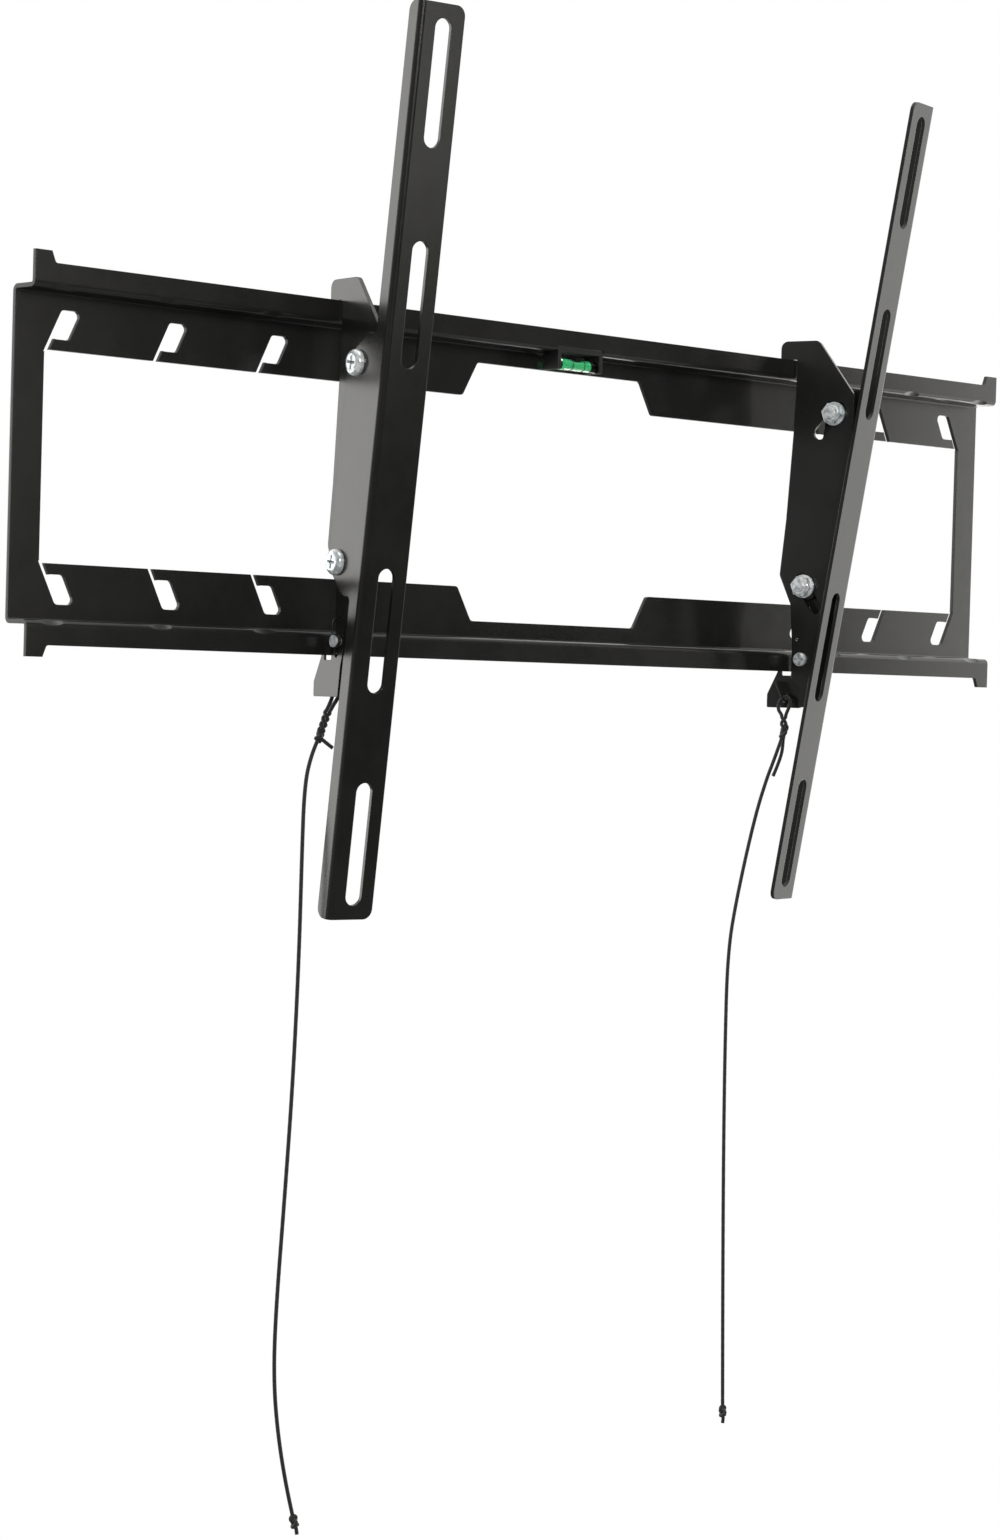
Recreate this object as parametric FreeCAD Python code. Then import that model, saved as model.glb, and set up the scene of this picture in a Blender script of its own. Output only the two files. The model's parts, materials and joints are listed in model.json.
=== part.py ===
import FreeCAD, Part
import math
import os

Vector = FreeCAD.Vector

# Frame: the wall is the plane Y = 0, +X runs right along the rail, +Y into the wall, +Z up.
# Lengths are in mm. "forward" is the distance in front of the wall, so Y = -forward.

# Folded steel sheet, the same stock for the wall plate, the arms and the hook plates
sheet = 2.0
bend_inside = 1.0
bend_outside = bend_inside + sheet

# How far every cut runs past the faces it goes through
cut_margin = 1.0

# How near a place must lie to count as the same
same_place = 0.01

# Wall plate
plate_length = 690.0
lip_front = 16.0
lip_rear = lip_front - sheet
flange_inner = 73.0
flange_outer = flange_inner + sheet
lip_tip = 84.3
tab_tip = 89.5
tab_tip_width = 8.6
tab_foot_width = 11.2
tab_foot_round = 1.5
upright_width = 16.4
window_half_height = 47.5
window_round = 2.0
rail_inner = 64.5
step_half_wide = 69.4
step_half_narrow = 59.5
step_round = 2.5

# Wall screw slots: three in each quarter of the plate, leaning, each with a slit to the window
slot_count = 3
slot_pitch = 62.0
slot_lean = 0.508
slot_width = 11.6
slot_low = 52.4
slot_high = 65.8
slot_round = 2.5
slit_width = 3.0

# Stiffening dents pressed into the lip folds
dent_length = 13.0
dent_depth = 0.6
dent_from_end = 14.2

# Spirit level in the top flange
level_cut_length = 33.0
level_cut_rear = 4.5
level_cut_top = 76.0
level_clearance = 0.2
level_front = 15.6
level_back = 5.0
level_top = 75.8
level_bottom = 64.4
level_end_width = 2.4
level_lid_bottom = 73.2
vial_radius = 2.9
vial_wall = 0.8
vial_end = 4.7
vial_forward = 12.0
vial_height = 67.4
bubble_length = 6.0
bubble_drop = 0.9

# Brackets: the place on the rail, how far each one is turned out, and how far its arm leans
left_place = -163.4
left_splay = -8.0
left_tilt = 7.6
right_place = 167.75
right_splay = 13.0
right_tilt = 9.4

# Hook plate, measured forward from the front of the lip
notch_front = 0.9
notch_rear = -3.0
notch_play = 0.3
notch_top = lip_tip + notch_play
notch_round = 0.6
hook_rear = -9.0
hook_tip = 78.5
hook_top = 94.6
hook_brow = 13.6
hook_neck_height = 70.0
shoulder_forward = 35.7
shoulder_height = 65.0
hook_front = 35.0
waist_height = 46.0
hip_rear = -3.0
belly_rear = -6.0
belly_height = -32.0
thigh_rear = 1.2
thigh_height = -48.0
shin_rear = 2.8
shin_top = -70.0
shin_bottom = -88.0
foot_rear = 8.2
foot_front = 14.2
foot_top = -93.5
foot_bottom = -103.5
hook_tight_round = 1.5
hook_round = 4.0
hook_wide_round = 20.0

# Tilt: the arm swings about a line in front of the mount, guided by two bolts in curved slots
tilt_centre_forward = 79.5
tilt_centre_height = -2.0
tilt_max = 12.0
tilt_end_play = 0.4
bolt_forward = 16.0
bolt_spread = 47.1
bolt_diameter = 6.0
bolt_slot_clearance = 0.5
bolt_hole_clearance = 0.2
bolt_head_diameter = 12.6
bolt_head_height = 3.4
bolt_head_round = 2.6
recess_length = 6.4
recess_width = 1.3
recess_depth = 2.2
bolt_end = 0.8
running_gap = 0.3
friction_washer_thickness = 3.4
friction_washer_diameter = 14.0
nut_washer_thickness = 1.2
nut_washer_diameter = 12.6
washer_bore_clearance = 0.2
nut_across_flats = 10.0
nut_height = 5.0
nut_hex_height = 3.6
nut_collar_diameter = 8.8
nut_bore_clearance = 0.05

# Arm
arm_length = 430.0
arm_face_forward = 39.2
arm_width = 24.9
arm_leg_depth = 9.5
arm_round = 5.0
arm_slot_length = 59.2
arm_slot_width = 9.2
arm_slot_end_share = 0.999
arm_slot_places = (-178.6, -76.5, 76.5, 178.6)
lobe_depth = 30.7
lobe_half_height = 62.0
lobe_shoulder = 16.0
lobe_slope = 13.0
lobe_foot_round = 2.0
lobe_shoulder_round = 5.0
lobe_rear_round = 8.0

# Latch, a flat lever on the outer side of the hook plate
latch_sheet = 1.2
pivot_forward = 8.3
pivot_height = -77.6
pivot_diameter = 4.0
pivot_clearance = 0.08
pivot_head_diameter = 7.4
pivot_head_height = 2.6
pivot_head_round = 1.2
pivot_stake_diameter = 5.8
pivot_stake_height = 0.8
finger_front = -4.2
finger_rear = -6.6
finger_top = -82.0
finger_root = -84.4
latch_notch_bottom = -86.5
latch_neck_rear = 1.7
latch_top = -74.0
eye_rear = 3.6
eye_front = 11.9
eye_bottom = -81.2
eye_shoulder = -77.0
lug_shoulder = 9.6
lug_shoulder_height = -89.0
lug_front = 7.8
lug_rear = -12.7
lug_rear_top = -96.8
lug_bottom = -104.0
latch_tight_round = 0.8
latch_round = 3.0

# Tab bent inward from the latch behind the hook plate's foot, with the cord hole in it
tab_upper_forward = -4.2
tab_upper_height = -89.9
tab_lower_forward = 1.0
tab_lower_height = -101.0
tab_reach = 5.6
cord_hole_diameter = 3.6
cord_hole_from_end = 3.0
cord_hole_across = -2.6

# Latch spring, coiled round the pivot
spring_wire = 0.7
spring_mean_radius = 2.6
spring_pitch = 0.85
spring_turns = 2
spring_steps = 8
spring_side_gap = 0.4
spring_upper_hole = -66.8
spring_lower_hole = -84.4
spring_hole_diameter = 1.8
spring_end_short = 0.2

# Share of a straight run that each bend of a wire or cord takes
bend_share = 0.45

# Pull cords
cord_diameter = 2.0
loop_through = 2.3
loop_front_out = 2.9
loop_front_drop = 4.5
loop_rear_back = 1.6
loop_rear_drop = 5.3
loop_join_share = 0.5
knot_radius = 2.9
knot_flat = 2.7
end_knot_radius = 3.4
end_knot_flat = 3.2
strand_offset = 1.2

# Places across a bracket, positive toward its outer side
hook_half = sheet / 2
leg_inner = hook_half + running_gap + friction_washer_thickness
leg_outer = leg_inner + sheet
latch_inner = hook_half + running_gap
latch_outer = latch_inner + latch_sheet
nut_side = -(hook_half + running_gap)
coil_near = latch_outer + spring_side_gap + spring_wire / 2
coil_far = coil_near + spring_pitch * spring_turns
stake_base = coil_far + spring_wire / 2 + running_gap


def rounded_wire(corners, place):
    """A closed outline through corners (a, b, radius), put in space by place(a, b)."""
    edges = []
    starts = []
    ends = []
    count = len(corners)
    for i in range(count):
        corner = Vector(corners[i][0], corners[i][1], 0)
        before = Vector(corners[i - 1][0], corners[i - 1][1], 0)
        after = Vector(corners[(i + 1) % count][0], corners[(i + 1) % count][1], 0)
        radius = corners[i][2]
        if radius == 0:
            starts.append(corner)
            ends.append(corner)
            edges.append(None)
            continue
        to_before = (before - corner).normalize()
        to_after = (after - corner).normalize()
        half = to_before.getAngle(to_after) / 2
        start = corner + to_before * (radius / math.tan(half))
        end = corner + to_after * (radius / math.tan(half))
        inward = (to_before + to_after).normalize()
        middle = corner + inward * (radius / math.sin(half) - radius)
        starts.append(start)
        ends.append(end)
        arc = Part.Arc(place(start.x, start.y), place(middle.x, middle.y), place(end.x, end.y))
        edges.append(arc.toShape())
    outline = []
    for i in range(count):
        if edges[i] is not None:
            outline.append(edges[i])
        here = ends[i]
        there = starts[(i + 1) % count]
        if here.distanceToPoint(there) > 1e-6:
            outline.append(Part.LineSegment(place(here.x, here.y), place(there.x, there.y)).toShape())
    return Part.Wire(Part.__sortEdges__(outline))


def front_slab(corners, forward_from, forward_to):
    """A slab drawn in front view as (x, z, radius) between two distances from the wall."""
    wire = rounded_wire(corners, lambda a, b: Vector(a, -forward_from, b))
    return Part.Face(wire).extrude(Vector(0, forward_from - forward_to, 0))


def web_cut(corners):
    """A cut through the web of the wall plate, drawn in front view."""
    return front_slab(corners, -cut_margin, sheet + cut_margin)


def side_slab(corners, x_from, x_to):
    """A slab drawn in side view as (forward, z, radius) between two places across."""
    wire = rounded_wire(corners, lambda a, b: Vector(x_from, -a, b))
    return Part.Face(wire).extrude(Vector(x_to - x_from, 0, 0))


def box_between(x_from, x_to, forward_from, forward_to, z_from, z_to):
    """A box between two places on each axis."""
    corner = Vector(x_from, -forward_to, z_from)
    return Part.makeBox(x_to - x_from, forward_to - forward_from, z_to - z_from, corner)


def cross_pin(diameter, x_from, x_to, forward, height):
    """A round pin across the bracket."""
    return Part.makeCylinder(diameter / 2, x_to - x_from, Vector(x_from, -forward, height), Vector(1, 0, 0))


def cross_hole(diameter, x_from, x_to, forward, height):
    """The cut for a round hole across the bracket, run past both faces."""
    return cross_pin(diameter, x_from - cut_margin, x_to + cut_margin, forward, height)


def mirrored(shape, normal):
    """The same shape on the other side of the origin."""
    return shape.mirror(Vector(0, 0, 0), normal)


def four_ways(shape):
    """A shape and its mirror images left to right and top to bottom."""
    pair = [shape, mirrored(shape, Vector(1, 0, 0))]
    return pair + [mirrored(one, Vector(0, 0, 1)) for one in pair]


def folded_half():
    """The upper half of the plate: web, flange forward and lip up, as one bent section."""
    section = [
        (0, 0, 0),
        (0, flange_outer, bend_outside),
        (lip_rear, flange_outer, bend_inside),
        (lip_rear, tab_tip, 0),
        (lip_front, tab_tip, 0),
        (lip_front, flange_inner, bend_outside),
        (sheet, flange_inner, bend_inside),
        (sheet, 0, 0),
    ]
    half_length = plate_length / 2
    half = side_slab(section, -half_length, half_length)
    low_lip = [
        (-half_length + tab_foot_width, lip_tip, tab_foot_round),
        (half_length - tab_foot_width, lip_tip, tab_foot_round),
        (half_length - tab_tip_width, tab_tip + cut_margin, 0),
        (-half_length + tab_tip_width, tab_tip + cut_margin, 0),
    ]
    return half.cut(front_slab(low_lip, lip_rear - cut_margin, lip_front + cut_margin))


def plate_window():
    """The big opening, taller at the middle where the rails are narrow."""
    side = plate_length / 2 - upright_width
    right_upper = [
        (side, window_half_height, window_round),
        (step_half_wide, window_half_height, step_round),
        (step_half_narrow, rail_inner, step_round),
    ]
    left_upper = [(-x, z, r) for x, z, r in reversed(right_upper)]
    upper = right_upper + left_upper
    lower = [(x, -z, r) for x, z, r in reversed(upper)]
    return web_cut(upper + lower)


def wall_screw_slot(number):
    """One leaning slot with its slit, in the upper right quarter."""
    edge = plate_length / 2 - upright_width - number * slot_pitch

    def lean_line(z):
        return edge - slot_lean * (z - window_half_height)

    body = [
        (lean_line(slot_low), slot_low, slot_round),
        (lean_line(slot_high), slot_high, slot_round),
        (lean_line(slot_high) - slot_width, slot_high, slot_round),
        (lean_line(slot_low) - slot_width, slot_low, slot_round),
    ]
    slit_end = slot_low + slot_round + cut_margin
    slit_start = window_half_height - cut_margin
    slit = [
        (lean_line(slit_start), slit_start, 0),
        (lean_line(slit_end), slit_end, 0),
        (lean_line(slit_end) - slit_width, slit_end, 0),
        (lean_line(slit_start) - slit_width, slit_start, 0),
    ]
    return web_cut(body).fuse(web_cut(slit))


def fold_dent(number):
    """The hollow of one stiffening dent and the bulge behind it, in the upper right quarter."""
    radius = ((dent_length / 2) ** 2 + dent_depth ** 2) / (2 * dent_depth)
    fold_set_back = bend_outside * (1 - math.sqrt(0.5))
    reach = (radius - dent_depth) * math.sqrt(0.5)
    x = plate_length / 2 - dent_from_end - number * slot_pitch
    centre = Vector(x, -(lip_front - fold_set_back + reach), flange_inner + fold_set_back - reach)
    hollow = Part.makeSphere(radius, centre)
    fold_corner = [
        (sheet, flange_inner, 0),
        (lip_front, flange_inner, bend_outside),
        (lip_front, lip_tip, 0),
        (sheet, lip_tip, 0),
    ]
    behind = side_slab(fold_corner, x - dent_length, x + dent_length)
    bulge = Part.makeSphere(radius + sheet, centre).common(behind)
    return hollow, bulge


def wall_plate():
    """The plate that is screwed to the wall, folded from one sheet."""
    half = folded_half()
    plate = half.fuse(mirrored(half, Vector(0, 0, 1)))
    cuts = [plate_window()]
    bulges = []
    for number in range(slot_count):
        cuts += four_ways(wall_screw_slot(number))
        hollow, bulge = fold_dent(number)
        cuts += four_ways(hollow)
        bulges += four_ways(bulge)
    half_cut = level_cut_length / 2
    cut_front = lip_front + cut_margin
    cut_bottom = flange_inner - cut_margin
    cuts.append(box_between(-half_cut, half_cut, level_cut_rear, cut_front, cut_bottom, level_cut_top))
    return plate.fuse(bulges).cut(cuts).removeSplitter()


def level_holder():
    """The black clip that fills the cut in the flange and carries the vial below it."""
    half = level_cut_length / 2 - level_clearance
    lid = box_between(-half, half, level_back, level_front, level_lid_bottom, level_top)
    end_inner = half - level_end_width
    right_end = box_between(end_inner, half, level_back, level_front, level_bottom, level_lid_bottom)
    left_end = mirrored(right_end, Vector(1, 0, 0))
    return lid.fuse([right_end, left_end]).removeSplitter()


def vial_half_length():
    """Half the length of the vial, which fits between the ends of its clip."""
    return level_cut_length / 2 - level_clearance - level_end_width


def level_vial():
    """The clear tube with its thick closed ends."""
    half = vial_half_length()
    tube = cross_pin(2 * vial_radius, -half, half, vial_forward, vial_height)
    inner = half - vial_end
    return tube.cut(cross_pin(2 * (vial_radius - vial_wall), -inner, inner, vial_forward, vial_height))


def level_liquid():
    """The green liquid that fills the vial but for one bubble at the top."""
    inner = vial_half_length() - vial_end
    radius = vial_radius - vial_wall
    liquid = cross_pin(2 * radius, -inner, inner, vial_forward, vial_height)
    half = bubble_length / 2
    rear = vial_forward - radius
    front = vial_forward + radius
    top = vial_height + radius
    return liquid.cut(box_between(-half, half, rear, front, top - bubble_drop, top + cut_margin))


def tilt_place(forward, height, angle):
    """Where a point of the level arm goes when the arm leans forward by an angle in degrees."""
    turn = math.radians(angle)
    ahead = forward - tilt_centre_forward
    above = height - tilt_centre_height
    return (
        tilt_centre_forward + ahead * math.cos(turn) + above * math.sin(turn),
        tilt_centre_height - ahead * math.sin(turn) + above * math.cos(turn),
    )


def curved_slot(spread):
    """The slot that guides one tilt bolt, a piece of a ring about the tilt centre."""
    half = bolt_diameter / 2 + bolt_slot_clearance
    reach = math.hypot(bolt_forward - tilt_centre_forward, spread)
    first = -tilt_end_play
    last = tilt_max + tilt_end_play

    def point(angle, offset):
        scale = (reach + offset) / reach
        forward = tilt_centre_forward + (bolt_forward - tilt_centre_forward) * scale
        height = tilt_centre_height + spread * scale
        place = tilt_place(forward, height, angle)
        return Vector(-hook_half - cut_margin, -place[0], place[1])

    cap = math.degrees(half / reach)
    middle = (first + last) / 2
    wire = Part.Wire([
        Part.Arc(point(first, half), point(middle, half), point(last, half)).toShape(),
        Part.Arc(point(last, half), point(last + cap, 0), point(last, -half)).toShape(),
        Part.Arc(point(last, -half), point(middle, -half), point(first, -half)).toShape(),
        Part.Arc(point(first, -half), point(first - cap, 0), point(first, half)).toShape(),
    ])
    return Part.Face(wire).extrude(Vector(sheet + 2 * cut_margin, 0, 0))


def hook_plate():
    """The flat plate that hangs on the upper lip and carries the tilt slots and the latch."""
    outline = [
        (hook_rear, hook_tip, hook_tight_round),
        (hook_rear, hook_top, hook_round),
        (hook_brow, hook_top, hook_round),
        (shoulder_forward, shoulder_height, hook_round),
        (hook_front, 0, hook_wide_round),
        (foot_front, foot_bottom, hook_tight_round),
        (foot_rear, foot_bottom, hook_tight_round),
        (foot_rear, foot_top, hook_tight_round),
        (shin_rear, shin_bottom, hook_tight_round),
        (shin_rear, shin_top, hook_round),
        (thigh_rear, thigh_height, hook_round),
        (belly_rear, belly_height, hook_round),
        (hip_rear, tilt_centre_height, hook_wide_round),
        (0, waist_height, hook_wide_round),
        (notch_front, hook_neck_height, 0),
        (notch_front, notch_top, notch_round),
        (notch_rear, notch_top, notch_round),
        (notch_rear, hook_tip, hook_tight_round),
    ]
    plate = side_slab(outline, -hook_half, hook_half)
    pivot_hole = pivot_diameter + 2 * pivot_clearance
    cuts = [
        curved_slot(bolt_spread),
        curved_slot(-bolt_spread),
        cross_hole(pivot_hole, -hook_half, hook_half, pivot_forward, pivot_height),
        cross_hole(spring_hole_diameter, -hook_half, hook_half, spring_leg_forward(), spring_upper_hole),
    ]
    return plate.cut(cuts)


def arm_bolt_heights():
    """Heights of the two tilt bolts on the level arm."""
    return (tilt_centre_height + bolt_spread, tilt_centre_height - bolt_spread)


def arm():
    """The upright that the screen is screwed to: a slotted face and a leg on its outer side."""
    face = arm_face_forward
    inner_edge = leg_outer - arm_width
    half = arm_length / 2
    middle = tilt_centre_height
    section = [
        (leg_outer, -face, bend_outside),
        (leg_outer, -face + lobe_depth, 0),
        (leg_inner, -face + lobe_depth, 0),
        (leg_inner, -face + sheet, bend_inside),
        (inner_edge, -face + sheet, 0),
        (inner_edge, -face, 0),
    ]
    wire = rounded_wire(section, lambda a, b: Vector(a, b, middle - half))
    angle_bar = Part.Face(wire).extrude(Vector(0, 0, arm_length))
    rear = face - arm_leg_depth
    lobe_rear = face - lobe_depth
    upper_side = [
        (face + cut_margin, half, 0),
        (rear, half, arm_round),
        (rear, lobe_half_height, lobe_foot_round),
        (face - lobe_shoulder, lobe_half_height, lobe_shoulder_round),
        (lobe_rear, lobe_half_height - lobe_slope, lobe_rear_round),
    ]
    lower_side = [(u, -z, r) for u, z, r in reversed(upper_side)]
    side = [(u, z + middle, r) for u, z, r in upper_side + lower_side]
    front = [
        (inner_edge, middle - half, arm_round),
        (inner_edge, middle + half, arm_round),
        (leg_outer + cut_margin, middle + half, 0),
        (leg_outer + cut_margin, middle - half, 0),
    ]
    body = angle_bar.common(side_slab(side, inner_edge - cut_margin, leg_outer + cut_margin))
    body = body.common(front_slab(front, lobe_rear - cut_margin, face + cut_margin))
    cuts = []
    slot_middle = (inner_edge + leg_inner) / 2
    for place in arm_slot_places:
        across = arm_slot_width / 2
        along = arm_slot_length / 2
        end_round = across * arm_slot_end_share
        stadium = [
            (slot_middle - across, middle + place - along, end_round),
            (slot_middle + across, middle + place - along, end_round),
            (slot_middle + across, middle + place + along, end_round),
            (slot_middle - across, middle + place + along, end_round),
        ]
        cuts.append(front_slab(stadium, face - sheet - cut_margin, face + cut_margin))
    hole = bolt_diameter + 2 * bolt_hole_clearance
    for height in arm_bolt_heights():
        cuts.append(cross_hole(hole, leg_inner, leg_outer, bolt_forward, height))
    return body.cut(cuts)


def cross_recess(x_top, direction, forward, height):
    """The cross-shaped driver recess in a screw head whose top is at x_top."""
    x_from = min(x_top, x_top - direction * recess_depth)
    x_to = max(x_top, x_top - direction * recess_depth)
    long = recess_length / 2
    short = recess_width / 2
    upright = box_between(x_from, x_to, forward - short, forward + short, height - long, height + long)
    level = box_between(x_from, x_to, forward - long, forward + long, height - short, height + short)
    return upright.fuse(level)


def pan_head(diameter, rise, rounding, x_base, direction, forward, height):
    """A screw head with a rounded rim and a cross recess, standing up from x_base."""
    start = Vector(x_base, -forward, height)
    head = Part.makeCylinder(diameter / 2, rise, start, Vector(direction, 0, 0))
    x_top = x_base + direction * rise
    rim = [edge for edge in head.Edges if abs(edge.CenterOfMass.x - x_top) < same_place]
    head = head.makeFillet(rounding, rim)
    return head.cut(cross_recess(x_top, direction, forward, height))


def tilt_bolts():
    """The two bolts through each arm, heads on the outer side."""
    tip = nut_side - nut_washer_thickness - nut_height - bolt_end
    bolts = []
    for height in arm_bolt_heights():
        head = pan_head(bolt_head_diameter, bolt_head_height, bolt_head_round, leg_outer, 1,
                        bolt_forward, height)
        shank = cross_pin(bolt_diameter, tip, leg_outer, bolt_forward, height)
        bolts.append(head.fuse(shank).removeSplitter())
    return Part.makeCompound(bolts)


def ring(outside, bore, x_from, x_to, height):
    """A flat washer on a tilt bolt."""
    disc = cross_pin(outside, x_from, x_to, bolt_forward, height)
    return disc.cut(cross_hole(bore, x_from, x_to, bolt_forward, height))


def friction_washers():
    """The thick plastic washers that space each arm leg from its hook plate."""
    bore = bolt_diameter + 2 * washer_bore_clearance
    x_from = leg_inner - friction_washer_thickness
    rings = [ring(friction_washer_diameter, bore, x_from, leg_inner, h) for h in arm_bolt_heights()]
    return Part.makeCompound(rings)


def nut_washers():
    """The steel washers under the nuts."""
    bore = bolt_diameter + 2 * washer_bore_clearance
    x_from = nut_side - nut_washer_thickness
    rings = [ring(nut_washer_diameter, bore, x_from, nut_side, h) for h in arm_bolt_heights()]
    return Part.makeCompound(rings)


def tilt_nuts():
    """Lock nuts: a hexagon and a round collar."""
    nuts = []
    x_seat = nut_side - nut_washer_thickness
    x_end = x_seat - nut_height
    thread = bolt_diameter + 2 * nut_bore_clearance
    corner = nut_across_flats / 2 / math.cos(math.radians(30))
    for height in arm_bolt_heights():
        points = []
        for k in range(7):
            turn = math.radians(60 * k)
            y = -bolt_forward + corner * math.cos(turn)
            points.append(Vector(x_seat, y, height + corner * math.sin(turn)))
        hexagon = Part.Face(Part.makePolygon(points)).extrude(Vector(-nut_hex_height, 0, 0))
        collar = cross_pin(nut_collar_diameter, x_end, x_seat - nut_hex_height, bolt_forward, height)
        bore = cross_hole(thread, x_end, x_seat, bolt_forward, height)
        nuts.append(hexagon.fuse(collar).cut(bore))
    return Part.makeCompound(nuts)


def tab_line():
    """The upper end of the latch's bent tab, its lower end, its direction and its forward normal."""
    upper = Vector(tab_upper_forward, tab_upper_height, 0)
    lower = Vector(tab_lower_forward, tab_lower_height, 0)
    along = (lower - upper).normalize()
    return upper, lower, along, Vector(-along.y, along.x, 0)


def cord_hole():
    """The middle of the cord hole in the tab, as (forward, height, 0)."""
    upper, lower, along, normal = tab_line()
    return lower - along * cord_hole_from_end


def latch():
    """The spring latch: a lever whose finger stands behind the lower lip, with a tab bent inward."""
    outline = [
        (finger_front, finger_top, latch_tight_round),
        (finger_front, latch_notch_bottom, latch_tight_round),
        (latch_neck_rear, latch_notch_bottom, latch_tight_round),
        (latch_neck_rear, eye_shoulder, latch_tight_round),
        (eye_rear, latch_top, latch_tight_round),
        (eye_front, latch_top, latch_round),
        (eye_front, eye_bottom, latch_round),
        (lug_shoulder, lug_shoulder_height, latch_round),
        (lug_front, lug_bottom, latch_tight_round),
        (lug_rear, lug_bottom, latch_tight_round),
        (lug_rear, lug_rear_top, latch_round),
        (finger_rear, finger_root, latch_tight_round),
        (finger_rear, finger_top, latch_tight_round),
    ]
    lever = side_slab(outline, latch_inner, latch_outer)
    upper, lower, along, normal = tab_line()
    half = normal * (latch_sheet / 2)
    tab_corners = [upper + half, lower + half, lower - half, upper - half]
    tab = side_slab([(p.x, p.y, 0) for p in tab_corners], -tab_reach, latch_outer)
    hole = cord_hole()
    drill = Vector(0, -normal.x, normal.y)
    drill_start = Vector(cord_hole_across, -hole.x, hole.y) - drill * latch_sheet
    pivot_hole = pivot_diameter + 2 * pivot_clearance
    cuts = [
        cross_hole(pivot_hole, latch_inner, latch_outer, pivot_forward, pivot_height),
        cross_hole(spring_hole_diameter, latch_inner, latch_outer, spring_leg_forward(), spring_lower_hole),
        Part.makeCylinder(cord_hole_diameter / 2, 2 * latch_sheet, drill_start, drill),
    ]
    return lever.fuse(tab).removeSplitter().cut(cuts)


def latch_pivot():
    """The screw the latch turns on, its head on the inner side and its staked end on the outer side."""
    head = pan_head(pivot_head_diameter, pivot_head_height, pivot_head_round, -hook_half, -1,
                    pivot_forward, pivot_height)
    shank = cross_pin(pivot_diameter, -hook_half, stake_base, pivot_forward, pivot_height)
    stake_top = stake_base + pivot_stake_height
    stake = cross_pin(pivot_stake_diameter, stake_base, stake_top, pivot_forward, pivot_height)
    return head.fuse([shank, stake]).removeSplitter()


def spring_leg_forward():
    """Where the two straight ends of the latch spring lie, at the rear of its coil."""
    return pivot_forward - spring_mean_radius


def latch_spring():
    """The coiled spring that keeps the latch shut, hooked into the latch and into the hook plate."""
    rear = spring_leg_forward()
    step = 2 * math.pi / spring_steps
    reach = spring_mean_radius / math.cos(step / 2)
    points = [
        Vector(latch_inner + spring_end_short, -rear, spring_lower_hole),
        Vector(coil_near, -rear, spring_lower_hole),
    ]
    for k in range(spring_turns * spring_steps):
        turn = (k + 0.5) * step
        forward = pivot_forward - reach * math.cos(turn)
        height = pivot_height + reach * math.sin(turn)
        points.append(Vector(coil_near + spring_pitch * turn / (2 * math.pi), -forward, height))
    points += [
        Vector(coil_far, -rear, spring_upper_hole),
        Vector(-hook_half + spring_end_short, -rear, spring_upper_hole),
    ]
    return tube(points, "latch spring", spring_wire)


def rounded_route(points, name):
    """Straight runs joined by tangent arcs through a route of points."""
    edges = []
    radii = []
    start = points[0]
    for i in range(1, len(points) - 1):
        back = points[i - 1] - points[i]
        ahead = points[i + 1] - points[i]
        half_turn = (math.pi - back.getAngle(ahead)) / 2
        cut = bend_share * min(back.Length, ahead.Length)
        radius = cut / math.tan(half_turn)
        radii.append(round(radius, 1))
        arc_start = points[i] + back.normalize() * cut
        arc_end = points[i] + ahead.normalize() * cut
        toward = (back + ahead).normalize()
        middle = points[i] + toward * (radius / math.cos(half_turn) - radius)
        edges.append(Part.LineSegment(start, arc_start).toShape())
        edges.append(Part.Arc(arc_start, middle, arc_end).toShape())
        start = arc_end
    edges.append(Part.LineSegment(start, points[-1]).toShape())
    wire = Part.Wire(edges)
    print(name, "arc radii", radii, "length", round(wire.Length, 1))
    return wire


def tube(points, name, diameter):
    """A solid round cord or wire along a route."""
    path = rounded_route(points, name)
    circle = Part.makeCircle(diameter / 2, points[0], points[1] - points[0])
    body = path.makePipeShell([Part.Wire(circle)], True, True)
    by_length = math.pi * diameter ** 2 / 4 * path.Length
    print(name, "volume", round(body.Volume, 1), "section times length", round(by_length, 1))
    return body


def flat_ball(radius, flat, centre, toward):
    """A round knot with one flat side where the cord leaves it."""
    cut_centre = centre + toward * flat
    cutter = Part.makeCylinder(2 * radius, 2 * radius, cut_centre, toward)
    return Part.makeSphere(radius, centre).cut(cutter)


class Bracket:
    """One of the two brackets: its side of the rail, its turn and the lean of its arm."""

    def __init__(self, name, outer_sign, place, splay, tilt):
        self.name = name
        self.outer_sign = outer_sign
        self.place = place
        self.splay = splay
        self.tilt = tilt

    def on_rail(self, shape):
        """Moves a shape from the bracket's own frame to its place on the rail."""
        if self.outer_sign < 0:
            shape = mirrored(shape, Vector(1, 0, 0))
        else:
            shape = shape.copy()
        shape.rotate(Vector(0, 0, 0), Vector(0, 0, 1), self.splay)
        shape.translate(Vector(self.place, -lip_front, 0))
        return shape

    def leaned(self, shape):
        """A shape on the arm, leaned forward and put on the rail."""
        shape = shape.copy()
        centre = Vector(0, -tilt_centre_forward, tilt_centre_height)
        shape.rotate(centre, Vector(1, 0, 0), self.tilt)
        return self.on_rail(shape)

    def point(self, x, forward, z):
        """A point of the bracket's own frame, on the rail."""
        marker = self.on_rail(Part.Vertex(x, -forward, z))
        return marker.Vertexes[0].Point


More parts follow.
